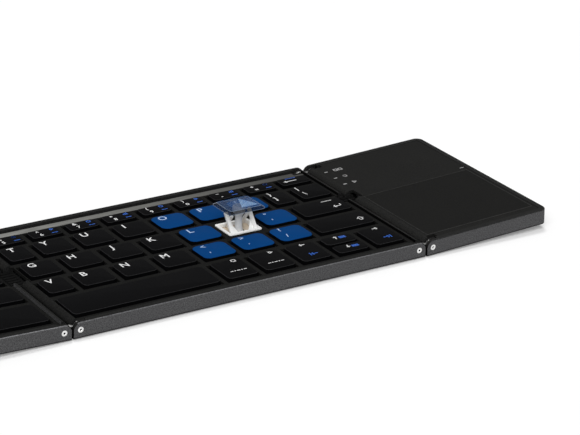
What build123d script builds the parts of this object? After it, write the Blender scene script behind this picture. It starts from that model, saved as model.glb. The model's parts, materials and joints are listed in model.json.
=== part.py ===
from build123d import *
import math
import os

os.makedirs("parts", exist_ok=True)

# Three-panel folding keyboard with a touchpad on the right panel.
# Millimetres. +X along the long side, +Y to the rear, +Z up, table at z = 0.
# Each panel is drawn flat, then the two outer panels are tilted about their hinge pins.
# "v" is a distance from the front face; "d" is a distance from a seam into a panel.

# ---------------------------------------------------------------- panels
LEFT_W = 101.0        # left panel, seam to outer end
PAD_W = 64.5          # touchpad panel, seam to outer end
THICK = 6.7           # one panel without its feet
FOOT_H = 0.6
CORNER_R = 3.6        # outer corners seen from above
TILT_LEFT = 2.0       # degrees that each outer panel is lifted at rest
TILT_PAD = 2.3
EDGE_CH = 0.3         # bright chamfer round the top of the shells

Z_BOT = FOOT_H
Z_TOP = FOOT_H + THICK
Z_PIN = FOOT_H + THICK / 2

# ---------------------------------------------------------------- rows of keys, front to rear
FRONT_MARGIN = 7.0
LOW_D = 17.6          # row of the space bar
LOW_ROW_GAP = 4.4
KEY_D = 13.7          # the three letter rows
ROW_GAP = 3.95
DIGIT_ROW_GAP = 3.4
DIGIT_D = 8.2         # row of number keys
REAR_MARGIN = 8.35


def row_after(v, gap, depth):
    return (v + gap, v + gap + depth)


ROW5 = row_after(0, FRONT_MARGIN, LOW_D)
ROW4 = row_after(ROW5[1], LOW_ROW_GAP, KEY_D)
ROW3 = row_after(ROW4[1], ROW_GAP, KEY_D)
ROW2 = row_after(ROW3[1], ROW_GAP, KEY_D)
ROW1 = row_after(ROW2[1], DIGIT_ROW_GAP, DIGIT_D)
ROWS = (ROW5, ROW4, ROW3, ROW2, ROW1)
DEPTH = ROW1[1] + REAR_MARGIN

# ---------------------------------------------------------------- keys along a row
KEY_W = 15.7
KEY_GAP = 3.14
DIGIT_W = 14.6
DIGIT_GAP = 3.07
DIGIT_KEYS = 8
LOW_GAP = 3.0
T_W = 12.0            # odd keys of the centre panel
BRACKET_W = 10.8
BACKSLASH_W = 15.3
G_W = 15.1
V_W = 12.3
MODIFIER_W = 15.0
ARROW_LEFT_W = 14.8
ARROW_PAIR_W = 15.8
ARROW_RIGHT_W = 14.6
ARROW_GAP = 0.9       # between the up and down arrows
START1 = 6.23         # first key of each centre row, from the left seam
START2 = 5.4
START3 = 5.8
START4 = 5.0
START5 = 4.2
END_MARGIN = 4.98     # last key of the long rows to the right seam
LOW_INSET = 0.8       # the lower rows end this much sooner
LEFT_START1 = 5.5     # first key of each left row, from its seam outwards
LEFT_START2 = 5.0
LEFT_START3 = 5.8
LEFT_START4 = 5.4
LEFT_SPACE_W = 32.5
OUTER_MARGIN = 5.0


def spans(start, widths, gap):
    """Starts and ends of keys that follow one another."""
    out = []
    for w in widths:
        out.append((start, start + w))
        start += w + gap
    return out


def filled(start, widths, gap, end):
    """The same with one more key, which takes what is left up to the end."""
    out = spans(start, widths, gap)
    return out + [(out[-1][1] + gap, end)]


SPANS2 = spans(START2, [T_W] + [KEY_W] * 6 + [BRACKET_W, BACKSLASH_W], KEY_GAP)
ROW_END = SPANS2[-1][1]
LOW_END = ROW_END - LOW_INSET
CENTRE_W = ROW_END + END_MARGIN
SPANS1 = filled(START1, [DIGIT_W] * DIGIT_KEYS, DIGIT_GAP, ROW_END)
SPANS3 = filled(START3, [G_W] + [KEY_W] * 6, KEY_GAP, LOW_END)
SPANS4 = filled(START4, [V_W] + [KEY_W] * 6, KEY_GAP, LOW_END)
LOW_WIDTHS = [MODIFIER_W, MODIFIER_W, ARROW_LEFT_W, ARROW_PAIR_W, ARROW_RIGHT_W]
SPACE_END = LOW_END - sum(LOW_WIDTHS) - LOW_GAP * len(LOW_WIDTHS)
SPANS5 = [(START5, SPACE_END)] + spans(SPACE_END + LOW_GAP, LOW_WIDTHS, LOW_GAP)

NAMES2 = ["key_t", "key_y", "key_u", "key_i", "key_o", "key_p", "key_bracket_open", "key_bracket_close",
          "key_backslash"]
NAMES3 = ["key_g", "key_h", "key_j", "key_k", "key_l", "open_key", "key_quote", "key_enter"]
NAMES4 = ["key_v", "key_b", "key_n", "key_m", "key_comma", "key_period", "key_slash", "key_shift"]
NAMES5 = ["key_space", "key_modifier_a", "key_modifier_b", "key_arrow_left", "key_arrow_pair", "key_arrow_right"]

OUTER = LEFT_W - OUTER_MARGIN
LEFT_ROWS = {
    "left_keys_row1": (ROW1, filled(LEFT_START1, [DIGIT_W] * 4, DIGIT_GAP, OUTER)),
    "left_keys_row2": (ROW2, filled(LEFT_START2, [KEY_W] * 4, KEY_GAP, OUTER)),
    "left_keys_row3": (ROW3, filled(LEFT_START3, [KEY_W] * 4, KEY_GAP, OUTER)),
    "left_keys_row4": (ROW4, filled(LEFT_START4, [KEY_W] * 3, KEY_GAP, OUTER)),
    "left_keys_row5": (ROW5, filled(LEFT_START1, [LEFT_SPACE_W, MODIFIER_W, MODIFIER_W], LOW_GAP, OUTER)),
}

# ---------------------------------------------------------------- hinges
SEAM_CLR = 0.2                      # end face to seam plane, each side
NOSE_R = THICK / 2                  # rounded top corner at a seam, round the pin
PIN_D = NOSE_R + SEAM_CLR           # pin axis to seam plane
PIN_R = 0.9
PIN_RUN = 0.05                      # running clearance of link on pin
HEAD_R = 1.35
HEAD_H = 0.6
HEAD_SUNK = 0.08
SOCKET_R = 0.5
SOCKET_H = 0.37
LINK_V0 = 1.7                       # link's front face, from the panel's front face
LINK_T = 2.0
LINK_EYE_R = 2.3
LINK_WAIST = 3.0
SLOT_CLR = 0.2                      # link to slot wall, along the pin
SLOT_R = 2.7                        # slot reach round the pin
CHEEK_T = 1.4                       # inner cheek of the slot
CHEEK_V = LINK_V0 + LINK_T + SLOT_CLR + CHEEK_T
CHEEK_D = 7.5
SHANK_V = CHEEK_V - 0.6             # screw tip

LEFT_BRIDGE_V0 = 45.2               # cable bridge recess, along each seam
LEFT_BRIDGE_L = 16.5
PAD_BRIDGE_V0 = 55.7
PAD_BRIDGE_L = 7.6
BRIDGE_R = 0.9
BRIDGE_CLR = 0.4
BRIDGE_END_CLR = 0.3
BRIDGE_T = 1.3
RIB_PITCH = 2.3
RIB_CUT = 0.8                       # groove between its ribs
BRIDGE_PIN_R = 0.55
LUG_W = 1.8                         # width of the lugs that hold its pins
LUG_D = 4.8
LUG_SKIN = 0.4                      # left at the blind end of a lug's hole
PIN_SHORT = 0.2                     # a pin ends this far before it

# ---------------------------------------------------------------- shells
FLOOR_T = 0.9
RIM = 2.7                           # front, rear and outer walls
SEAM_WALL = 3.2                     # inner face of a seam wall, from the seam plane
LEDGE = 1.2
FOOT_R = 3.0
FOOT_V = 12.0                       # foot centre from the front and rear
FOOT_SEAM = 18.0                    # foot centre from a seam
FOOT_OUTER = 12.0                   # foot centre from an outer end
FIT = 0.1                           # clearance of an inset plate
CORNER_IN = CORNER_R - RIM + 0.2
ROOT = 0.1                          # how far an added solid reaches into its neighbour

# ---------------------------------------------------------------- key parts
BOARD_T = 1.0
BOARD_V = 0.5                       # board to slot cheek
BOARD_D = 1.8                       # board to seam wall
Z_BOARD = Z_BOT + FLOOR_T + BOARD_T
DECK_T = 1.2
DECK_DROP = 1.3
Z_DECK = Z_TOP - DECK_DROP          # deck between the keys
Z_SEAT = Z_DECK - DECK_T
CAP_DROP = 0.1
CAP_TOP = Z_TOP - CAP_DROP
CAP_FLARE = 0.2                     # foot of a cap stands out this far
CAP_R = 1.5
CAP_CLR = 0.35                      # cap foot to deck opening
TAB = 0.35                          # retaining tab beyond the opening
TAB_T = 0.8
TAB_INSET = 1.2
SWITCH_HX = 2.0                     # half sizes of the switch pad under a cap
SWITCH_HY = 1.8
SWITCH_H = 0.2
RIB_W = 0.9
RIB_INSET = 9.0
KEY_TRAVEL = 1.15                   # of every closed key

# ---------------------------------------------------------------- opened key
OPEN_SPAN = SPANS3[NAMES3.index("open_key")]
OPEN_XC = (OPEN_SPAN[0] + OPEN_SPAN[1]) / 2 - CENTRE_W / 2
OPEN_VC = (ROW3[0] + ROW3[1]) / 2
OPEN_YC = OPEN_VC - DEPTH / 2
OPEN_CAP_T = 1.0
OPEN_CAP_R = 1.8
OPEN_CAP_CH = 0.3
OPEN_HOME = 0.55                    # underside above the deck when pressed home
OPEN_TRAVEL = 9.65
OPEN_CAP_BOT = Z_DECK + OPEN_HOME + OPEN_TRAVEL
RING_HX = 7.7                       # half sizes of the white ring on the deck
RING_HY = 6.6
RING_T = 0.5
COLLAR_HX = 7.1                     # its collar in the deck opening
COLLAR_HY = 6.05
COLLAR_T = 1.1
COLLAR_FIT = 0.05
WIN_HX = 6.65
WIN_HY = 5.55
LEVER_Z = Z_DECK - 0.05             # hinge axis height of both levers
LEVER_R = 0.4
OPEN_ANGLE = 52.0
OUT_HINGE_Y = -4.7
OUT_LEN = 9.5
OUT_X = (5.2, 6.3)                  # arm of the outer lever, from the middle
IN_HINGE_Y = 4.2
IN_LEN = 7.7
IN_X = (3.5, 4.8)
BEARING_X = (1.9, 2.9)              # lugs of the ring that carry the hinge bars
BEARING_REACH = 0.75
LEVER_RUN = 0.05
FOOT_LIP = 0.6
DOME_FOOT_R = 2.6
DOME_STEM_R = 1.3
DOME_CUP_R = 2.9
DOME_CUP_H = 4.6
DOME_FLARE = 0.8
DOME_CUP_RISE = 1.6
DOME_TOP_R = 2.2

# ---------------------------------------------------------------- touchpad panel
COVER_DROP = 0.1
Z_COVER = Z_TOP - COVER_DROP
COVER_T = 1.3
COVER_SEAT = Z_COVER - COVER_T
TOUCH_D0 = 4.6                      # touch surface: from the seam, to the outer end, from the front, its depth
TOUCH_MARGIN = 3.9
TOUCH_V0 = 6.2
TOUCH_L = 48.6
TOUCH_T = 0.75
TOUCH_R = 0.8
TOUCH_GROOVE = 0.18
LAMP_COUNT = 3
LAMP_D = 5.6
LAMP_REAR = 11.55
LAMP_PITCH = 7.8
LAMP_W = 1.9
LAMP_L = 0.8
LAMP_SUNK = 0.25
INNER_D = 9.0                       # board and cell, from the seam and the front
BOARD_MARGIN = 6.5
CELL_MARGIN = 8.5
CELL_L = 28.0
CELL_REAR = 7.95
CELL_GAP = 4.0
CELL_T = 3.4
CELL_R = 1.2
MAIN_T = 1.0
CHIP_T = 1.0
CHIPS = ((20, 22, 9, 9), (38, 20, 6, 8), (24, 42, 12, 5), (46, 42, 5, 5), (50, 26, 4, 10))  # d, v, width, length
POST_H = 0.8
POST_HALF = 1.2
POST_IN = 3.0

# the model's middle sits at x = 0, so every piece moves by this much
PAD_RAD = math.radians(TILT_PAD)
LEFT_RAD = math.radians(TILT_LEFT)
X_MAX = CENTRE_W / 2 + PIN_D + (PAD_W - PIN_D) * math.cos(PAD_RAD) + NOSE_R * math.sin(PAD_RAD)
X_MIN = -(CENTRE_W / 2 + PIN_D + (LEFT_W - PIN_D) * math.cos(LEFT_RAD) + NOSE_R * math.sin(LEFT_RAD))
SHIFT = -(X_MAX + X_MIN) / 2

SEAM_L = -CENTRE_W / 2
SEAM_R = CENTRE_W / 2

# ---------------------------------------------------------------- helpers


def block(x0, x1, v0, v1, z0, z1):
    x0, x1 = min(x0, x1), max(x0, x1)
    return Pos((x0 + x1) / 2, (v0 + v1) / 2 - DEPTH / 2, (z0 + z1) / 2) * Box(x1 - x0, v1 - v0, z1 - z0)


def rod(x, z, r, v0, v1):
    return Pos(x, (v0 + v1) / 2 - DEPTH / 2, z) * Rot(90, 0, 0) * Cylinder(r, v1 - v0)


def cross_bar(x, y, z, r, length):
    return Pos(x, y, z) * Rot(0, 90, 0) * Cylinder(r, length)


def both_ends(v0, v1):
    """The same stretch at the front and mirrored at the rear."""
    return [(v0, v1), (DEPTH - v1, DEPTH - v0)]


def tilt_left(shape):
    x = SEAM_L - PIN_D
    return Pos(x, 0, Z_PIN) * Rot(0, TILT_LEFT, 0) * Pos(-x, 0, -Z_PIN) * shape


def tilt_pad(shape):
    x = SEAM_R + PIN_D
    return Pos(x, 0, Z_PIN) * Rot(0, -TILT_PAD, 0) * Pos(-x, 0, -Z_PIN) * shape


def save(name, shape, tilt=None):
    if tilt is not None:
        shape = tilt(shape)
    export_step(Pos(SHIFT, 0, 0) * shape, "parts/" + name + ".step")


# ---------------------------------------------------------------- shells


def panel_blank(x0, x1, round0, round1):
    """A panel's outside: sharp below, top corner rounded round the pin at each seam."""
    y = -DEPTH / 2
    s = NOSE_R * math.sqrt(0.5)
    edges = [Line((x0, y, Z_BOT), (x1, y, Z_BOT))]
    xa = x0 + NOSE_R if round0 else x0
    xb = x1 - NOSE_R if round1 else x1
    if round1:
        edges.append(Line((x1, y, Z_BOT), (x1, y, Z_PIN)))
        edges.append(ThreePointArc((x1, y, Z_PIN), (xb + s, y, Z_PIN + s), (xb, y, Z_TOP)))
    else:
        edges.append(Line((x1, y, Z_BOT), (x1, y, Z_TOP)))
    edges.append(Line((xb, y, Z_TOP), (xa, y, Z_TOP)))
    if round0:
        edges.append(ThreePointArc((xa, y, Z_TOP), (xa - s, y, Z_PIN + s), (x0, y, Z_PIN)))
        edges.append(Line((x0, y, Z_PIN), (x0, y, Z_BOT)))
    else:
        edges.append(Line((x0, y, Z_TOP), (x0, y, Z_BOT)))
    body = extrude(Face(Wire(edges)), amount=DEPTH, dir=(0, 1, 0))
    for x, rounded in ((x0, round0), (x1, round1)):
        if not rounded:
            body = fillet(body.edges().filter_by(Axis.Z).filter_by_position(Axis.X, x - 0.1, x + 0.1), CORNER_R)
    # the chamfer runs on round the seam noses and the outer corners
    return chamfer(body.edges().filter_by(Axis.X).group_by(Axis.Z)[-1], EDGE_CH)


def bridge_span(xs):
    """Where the cable bridge lies along the seam at xs."""
    v0, length = (LEFT_BRIDGE_V0, LEFT_BRIDGE_L) if xs < 0 else (PAD_BRIDGE_V0, PAD_BRIDGE_L)
    return v0, v0 + length


def tray(x0, x1, v0, v1, z0, z1, outer_x=None):
    """A block whose corners at the outer end follow the shell's round corners."""
    b = block(x0, x1, v0, v1, z0, z1)
    if outer_x is not None:
        b = fillet(b.edges().filter_by(Axis.Z).filter_by_position(Axis.X, outer_x - 0.05, outer_x + 0.05),
                   CORNER_IN)
    return b


def seam_adds(xs, s):
    """Cheeks of the link slots and lugs for the cable bridge, at seam xs, s pointing into the panel."""
    z = Z_BOT + FLOOR_T - ROOT
    b0, b1 = bridge_span(xs)
    adds = [block(xs + s * SEAM_WALL, xs + s * CHEEK_D, v0, v1, z, Z_DECK)
            for v0, v1 in both_ends(RIM - ROOT, CHEEK_V)]
    adds += [block(xs + s * (SEAM_WALL - ROOT), xs + s * LUG_D, v0, v1, z, Z_SEAT)
             for v0, v1 in ((b0 - LUG_W, b0), (b1, b1 + LUG_W))]
    return adds


def seam_cuts(xs, s):
    """Link slots, screw holes, cable recess and its pin holes."""
    xp = xs + s * PIN_D
    over = Z_TOP + 1
    cuts = []
    for v0, v1 in both_ends(LINK_V0 - SLOT_CLR, LINK_V0 + LINK_T + SLOT_CLR):
        cuts.append(block(xs, xp, v0, v1, Z_PIN - SLOT_R, over))
        cuts.append(rod(xp, Z_PIN, SLOT_R, v0, v1))
        cuts.append(block(xp, xp + s * SLOT_R, v0, v1, Z_PIN, over))
    cuts += [rod(xp, Z_PIN, PIN_R, v0, v1) for v0, v1 in both_ends(-1, SHANK_V)]
    cuts += [rod(xp, Z_PIN, HEAD_R, v0, v1) for v0, v1 in both_ends(-1, HEAD_H)]
    reach = BRIDGE_R + BRIDGE_CLR
    b0, b1 = bridge_span(xs)
    cuts.append(block(xs, xp + s * reach, b0, b1, Z_PIN, over))
    cuts.append(block(xs, xp, b0, b1, Z_PIN - reach, Z_PIN + ROOT))
    cuts.append(rod(xp, Z_PIN, reach, b0, b1))
    hole = LUG_W - LUG_SKIN
    cuts += [rod(xp, Z_PIN, BRIDGE_PIN_R + PIN_RUN, v0, v1)
             for v0, v1 in ((b0 - hole, b0), (b1, b1 + hole))]
    return cuts


def base_shell(x0, x1, seams, outer, seat_z, feet):
    """seams: list of (seam x, inward sign); outer: x of the outer end or None; feet: their x places."""
    body = panel_blank(x0, x1, outer != x0, outer != x1)
    inner = {s: xs + s * SEAM_WALL for xs, s in seams}
    a = inner.get(1, x0 + RIM)
    b = inner.get(-1, x1 - RIM)
    ox = None if outer is None else (a if outer == x0 else b)
    body -= tray(a, b, RIM, DEPTH - RIM, seat_z, Z_TOP + 1, ox)
    la = a if outer != x0 else a + LEDGE
    lb = b if outer != x1 else b - LEDGE
    body -= block(la, lb, RIM + LEDGE, DEPTH - RIM - LEDGE, Z_BOT + FLOOR_T, seat_z + 1)
    cuts = []
    for xs, s in seams:
        for piece in seam_adds(xs, s):
            body += piece
        cuts += seam_cuts(xs, s)
    body -= cuts
    for x in feet:
        for v in (FOOT_V, DEPTH - FOOT_V):
            body += Pos(x, v - DEPTH / 2, (FOOT_H + ROOT) / 2) * Cylinder(FOOT_R, FOOT_H + ROOT)
    return body


def pivot_screws(seams):
    out = []
    for xs, s in seams:
        xp = xs + s * PIN_D
        front = rod(xp, Z_PIN, PIN_R, HEAD_H, SHANK_V) + rod(xp, Z_PIN, HEAD_R, HEAD_SUNK, HEAD_H)
        front -= rod(xp, Z_PIN, SOCKET_R, 0, HEAD_SUNK + SOCKET_H)
        out += [front, mirror(front, about=Plane.XZ)]
    return Compound(out)


def hinge_links(xs):
    a, b = xs - PIN_D, xs + PIN_D
    v0, v1 = LINK_V0, LINK_V0 + LINK_T
    link = rod(a, Z_PIN, LINK_EYE_R, v0, v1) + rod(b, Z_PIN, LINK_EYE_R, v0, v1)
    link += block(a, b, v0, v1, Z_PIN - LINK_WAIST / 2, Z_PIN + LINK_WAIST / 2)
    link -= [rod(x, Z_PIN, PIN_R + PIN_RUN, v0 - 1, v1 + 1) for x in (a, b)]
    return Compound([link, mirror(link, about=Plane.XZ)])


def cable_bridge(xs):
    """Flat ribbed cover of the cable, hung on a small pin at each corner."""
    b0, b1 = bridge_span(xs)
    v0, v1 = b0 + BRIDGE_END_CLR, b1 - BRIDGE_END_CLR
    a, b = xs - PIN_D, xs + PIN_D
    body = block(a, b, v0, v1, Z_PIN - BRIDGE_T / 2, Z_PIN + BRIDGE_T / 2)
    body += [rod(x, Z_PIN, BRIDGE_R, v0, v1) for x in (a, b)]
    ribs = round((v1 - v0) / RIB_PITCH)
    step = (v1 - v0) / ribs
    body += [block(a + BRIDGE_R, b - BRIDGE_R, v0 + i * step + RIB_CUT / 2, v0 + (i + 1) * step - RIB_CUT / 2,
                   Z_PIN, Z_PIN + BRIDGE_R) for i in range(ribs)]
    reach = BRIDGE_END_CLR + LUG_W - LUG_SKIN - PIN_SHORT
    body += [rod(x, Z_PIN, BRIDGE_PIN_R, v0 - reach, v1 + reach) for x in (a, b)]
    return body


# ---------------------------------------------------------------- keys


def cap_outline(w, d, r):
    """Rectangle whose corners are each two short flats on an arc of radius r."""
    points = []
    for sx, sy, turn in ((1, 1, 0), (-1, 1, 90), (-1, -1, 180), (1, -1, 270)):
        for step in (0, 45, 90):
            a = math.radians(turn + step)
            points.append((sx * (w / 2 - r) + r * math.cos(a), sy * (d / 2 - r) + r * math.sin(a)))
    return make_face(Polyline(*points, close=True))


def cap(x0, x1, v0, v1):
    """Cap that tapers up through the deck, held below it by a tab at each end."""
    h = CAP_TOP - Z_SEAT
    foot = Pos((x0 + x1) / 2, (v0 + v1) / 2 - DEPTH / 2, Z_SEAT) * cap_outline(
        x1 - x0 + 2 * CAP_FLARE, v1 - v0 + 2 * CAP_FLARE, CAP_R + CAP_FLARE)
    body = extrude(foot, amount=h, taper=math.degrees(math.atan(CAP_FLARE / h)))
    reach = CAP_FLARE + CAP_CLR + TAB
    return body + block(x0 - reach, x1 + reach, v0 + TAB_INSET, v1 - TAB_INSET, Z_SEAT - TAB_T, Z_SEAT)


def opening(x0, x1, v0, v1):
    g = CAP_FLARE + CAP_CLR
    return block(x0 - g, x1 + g, v0 - g, v1 + g, Z_SEAT - 1, Z_DECK + 1)


def key_deck(x0, x1, seams, outer, openings):
    """Plate round the keys, with ribs between the rows that stand on the board."""
    inner = {s: xs + s * (SEAM_WALL + FIT) for xs, s in seams}
    a = inner.get(1, x0 + RIM + FIT)
    b = inner.get(-1, x1 - RIM - FIT)
    ox = None if outer is None else (a if outer == x0 else b)
    plate = tray(a, b, RIM + FIT, DEPTH - RIM - FIT, Z_SEAT, Z_DECK, ox)
    for near, far in zip(ROWS, ROWS[1:]):
        v = (near[1] + far[0]) / 2
        plate += block(a + RIB_INSET, b - RIB_INSET, v - RIB_W / 2, v + RIB_W / 2, Z_BOARD, Z_SEAT + ROOT)
    cuts = list(openings)
    for xs, s in seams:
        cuts += [block(xs, xs + s * (CHEEK_D + FIT), v0, v1, Z_BOARD, Z_TOP) for v0, v1 in both_ends(0, CHEEK_V + FIT)]
        b0, b1 = bridge_span(xs)
        cuts.append(block(xs, xs + s * (PIN_D + BRIDGE_R + BRIDGE_CLR), b0 - FIT, b1 + FIT, Z_BOARD, Z_TOP))
    return plate - cuts


def key_board(a, b, switches):
    board = block(a, b, CHEEK_V + BOARD_V, DEPTH - CHEEK_V - BOARD_V, Z_BOT + FLOOR_T, Z_BOARD)
    board += [block(x - SWITCH_HX, x + SWITCH_HX, v - SWITCH_HY, v + SWITCH_HY, Z_BOARD, Z_BOARD + SWITCH_H)
              for x, v in switches]
    return board


def middle(x0, x1, v0, v1):
    return ((x0 + x1) / 2, (v0 + v1) / 2)


# ---------------------------------------------------------------- centre panel
cx0, cx1 = SEAM_L + SEAM_CLR, SEAM_R - SEAM_CLR
centre_seams = [(SEAM_L, 1), (SEAM_R, -1)]
feet = (SEAM_L + FOOT_SEAM, SEAM_R - FOOT_SEAM)
save("centre_base_shell", base_shell(cx0, cx1, centre_seams, None, Z_SEAT, feet))

places = {}
for row, key_names, key_spans in ((ROW2, NAMES2, SPANS2), (ROW3, NAMES3, SPANS3), (ROW4, NAMES4, SPANS4),
                                  (ROW5, NAMES5, SPANS5)):
    for name, (s0, s1) in zip(key_names, key_spans):
        places[name] = (SEAM_L + s0, SEAM_L + s1, *row)
numbers = [(SEAM_L + s0, SEAM_L + s1, *ROW1) for s0, s1 in SPANS1]
del places["open_key"]
holes = [opening(*p) for p in list(places.values()) + numbers]
holes.append(block(OPEN_XC - COLLAR_HX - COLLAR_FIT, OPEN_XC + COLLAR_HX + COLLAR_FIT,
                   OPEN_VC - COLLAR_HY - COLLAR_FIT, OPEN_VC + COLLAR_HY + COLLAR_FIT, Z_SEAT - 1, Z_DECK + 1))
save("centre_key_frame", key_deck(cx0, cx1, centre_seams, None, holes))

# the up and down arrows share one opening
x0, x1, v0, v1 = places.pop("key_arrow_pair")
places["key_arrow_down"] = (x0, x1, v0, (v0 + v1 - ARROW_GAP) / 2)
places["key_arrow_up"] = (x0, x1, (v0 + v1 + ARROW_GAP) / 2, v1)
edge = SEAM_WALL + FIT + BOARD_D
switches = [middle(*p) for p in list(places.values()) + numbers]
save("centre_key_board", key_board(SEAM_L + edge, SEAM_R - edge, switches))
save("centre_pivot_screws", pivot_screws(centre_seams))
for name, place in places.items():
    save(name, cap(*place))
save("centre_number_keys", Compound([cap(*p) for p in numbers]))

# ---------------------------------------------------------------- opened key


def lever(hinge_y, length, arm, direction):
    """Two arms on a hinge bar, drawn flat along +Y or -Y, then raised about the bar."""
    yc = OPEN_YC + hinge_y
    ye = yc + direction * length
    parts = cross_bar(OPEN_XC, yc, LEVER_Z, LEVER_R, 2 * arm[1])
    for side in (-1, 1):
        xa, xb = OPEN_XC + side * arm[0], OPEN_XC + side * arm[1]
        parts += block(xa, xb, min(yc, ye) + DEPTH / 2, max(yc, ye) + DEPTH / 2, LEVER_Z - LEVER_R, LEVER_Z + LEVER_R)
        parts += cross_bar((xa + xb) / 2, ye, LEVER_Z, LEVER_R, abs(xb - xa))
    return Pos(0, yc, LEVER_Z) * Rot(direction * OPEN_ANGLE, 0, 0) * Pos(0, -yc, -LEVER_Z) * parts


def around(hx, hy, z0, z1):
    return block(OPEN_XC - hx, OPEN_XC + hx, OPEN_VC - hy, OPEN_VC + hy, z0, z1)


def open_ring():
    """Ring on the deck, its collar, and the bearings of the two hinge bars."""
    low = Z_DECK - COLLAR_T
    ring = around(RING_HX, RING_HY, Z_DECK, Z_DECK + RING_T)
    ring = fillet(ring.edges().filter_by(Axis.Z), CAP_R)
    ring += around(COLLAR_HX, COLLAR_HY, low, Z_DECK)
    ring -= around(WIN_HX, WIN_HY, low - 1, Z_TOP)
    for hy, side in ((OUT_HINGE_Y, -1), (IN_HINGE_Y, 1)):
        va, vb = sorted((OPEN_VC + hy - side * BEARING_REACH, OPEN_VC + side * (WIN_HY + ROOT)))
        for sx in (-1, 1):
            ring += block(OPEN_XC + sx * BEARING_X[0], OPEN_XC + sx * BEARING_X[1], va, vb, low, LEVER_Z)
        ring -= cross_bar(OPEN_XC, OPEN_YC + hy, LEVER_Z, LEVER_R + LEVER_RUN, 2 * BEARING_X[1] + ROOT)
    return ring


def clear_cap():
    plate = Pos(OPEN_XC, OPEN_YC, OPEN_CAP_BOT) * RectangleRounded(KEY_W, KEY_D, OPEN_CAP_R)
    plate = extrude(plate, amount=OPEN_CAP_T)
    return chamfer(plate.edges().group_by(Axis.Z)[-1], OPEN_CAP_CH)


def dome():
    """Rubber spring: foot, stem and a cup under the cap."""
    z0, z1 = Z_BOARD, OPEN_CAP_BOT
    zc = z1 - DOME_CUP_H
    profile = Polyline((0, z0), (DOME_FOOT_R, z0), (DOME_FOOT_R, z0 + FOOT_LIP),
                       (DOME_STEM_R, z0 + FOOT_LIP + DOME_FLARE), (DOME_STEM_R, zc),
                       (DOME_CUP_R, zc + DOME_CUP_RISE), (DOME_CUP_R, z1 - DOME_FLARE), (DOME_TOP_R, z1),
                       (0, z1), close=True)
    return Pos(OPEN_XC, OPEN_YC, 0) * revolve(Plane.XZ * make_face(profile), Axis.Z)


save("open_key_base", open_ring())
save("open_key_outer_frame", lever(OUT_HINGE_Y, OUT_LEN, OUT_X, 1))
save("open_key_inner_frame", lever(IN_HINGE_Y, IN_LEN, IN_X, -1))
save("open_key_cap", clear_cap())
save("open_key_dome", dome())

# ---------------------------------------------------------------- left panel
lx0, lx1 = SEAM_L - LEFT_W, SEAM_L - SEAM_CLR
left_seams = [(SEAM_L, -1)]
feet = (SEAM_L - FOOT_SEAM, lx0 + FOOT_OUTER)
save("left_base_shell", base_shell(lx0, lx1, left_seams, lx0, Z_SEAT, feet), tilt_left)
left_places = []
for name, (row, key_spans) in LEFT_ROWS.items():
    row_places = [(SEAM_L - s1, SEAM_L - s0, *row) for s0, s1 in key_spans]
    save(name, Compound([cap(*p) for p in row_places]), tilt_left)
    left_places += row_places
holes = [opening(*p) for p in left_places]
save("left_key_frame", key_deck(lx0, lx1, left_seams, lx0, holes), tilt_left)
switches = [middle(*p) for p in left_places]
save("left_key_board", key_board(lx0 + RIM + LEDGE + FIT, SEAM_L - edge, switches), tilt_left)
save("left_pivot_screws", pivot_screws(left_seams), tilt_left)

# ---------------------------------------------------------------- touchpad panel
px0, px1 = SEAM_R + SEAM_CLR, SEAM_R + PAD_W
pad_seams = [(SEAM_R, 1)]
feet = (SEAM_R + FOOT_SEAM, px1 - FOOT_OUTER)
cell_v0 = DEPTH - CELL_REAR - CELL_L
main_box = (SEAM_R + INNER_D, px1 - BOARD_MARGIN, INNER_D, cell_v0 - CELL_GAP)
z_floor = Z_BOT + FLOOR_T
z_main = z_floor + POST_H


def touchpad_shell():
    shell = base_shell(px0, px1, pad_seams, px1, COVER_SEAT, feet)
    x0, x1, v0, v1 = main_box
    for x in (x0 + POST_IN, x1 - POST_IN):
        for v in (v0 + POST_IN, v1 - POST_IN):
            shell += block(x - POST_HALF, x + POST_HALF, v - POST_HALF, v + POST_HALF, z_floor - ROOT, z_main)
    return shell


def touchpad_cover():
    """Inset plate with a pocket for the touch surface and slits for the lamps."""
    over = Z_TOP + 1
    g = TOUCH_GROOVE
    plate = tray(SEAM_R + SEAM_WALL + FIT, px1 - RIM - FIT, RIM + FIT, DEPTH - RIM - FIT, COVER_SEAT, Z_COVER,
                 px1 - RIM - FIT)
    cuts = [block(SEAM_R + TOUCH_D0 - g, px1 - TOUCH_MARGIN + g, TOUCH_V0 - g, TOUCH_V0 + TOUCH_L + g,
                  Z_COVER - TOUCH_T, over)]
    cuts += [block(SEAM_R, SEAM_R + CHEEK_D + FIT, v0, v1, 0, over) for v0, v1 in both_ends(0, CHEEK_V + FIT)]
    b0, b1 = bridge_span(SEAM_R)
    cuts.append(block(SEAM_R, SEAM_R + PIN_D + BRIDGE_R + BRIDGE_CLR, b0 - FIT, b1 + FIT, 0, over))
    for i in range(LAMP_COUNT):
        v = DEPTH - LAMP_REAR - i * LAMP_PITCH
        x = SEAM_R + LAMP_D
        cuts.append(block(x - LAMP_W / 2, x + LAMP_W / 2, v - LAMP_L / 2, v + LAMP_L / 2, Z_COVER - LAMP_SUNK, over))
    return plate - cuts


def main_board():
    board = block(*main_box, z_main, z_main + MAIN_T)
    z = z_main + MAIN_T
    board += [block(SEAM_R + d - w / 2, SEAM_R + d + w / 2, v - l / 2, v + l / 2, z, z + CHIP_T)
              for d, v, w, l in CHIPS]
    return board


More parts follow.
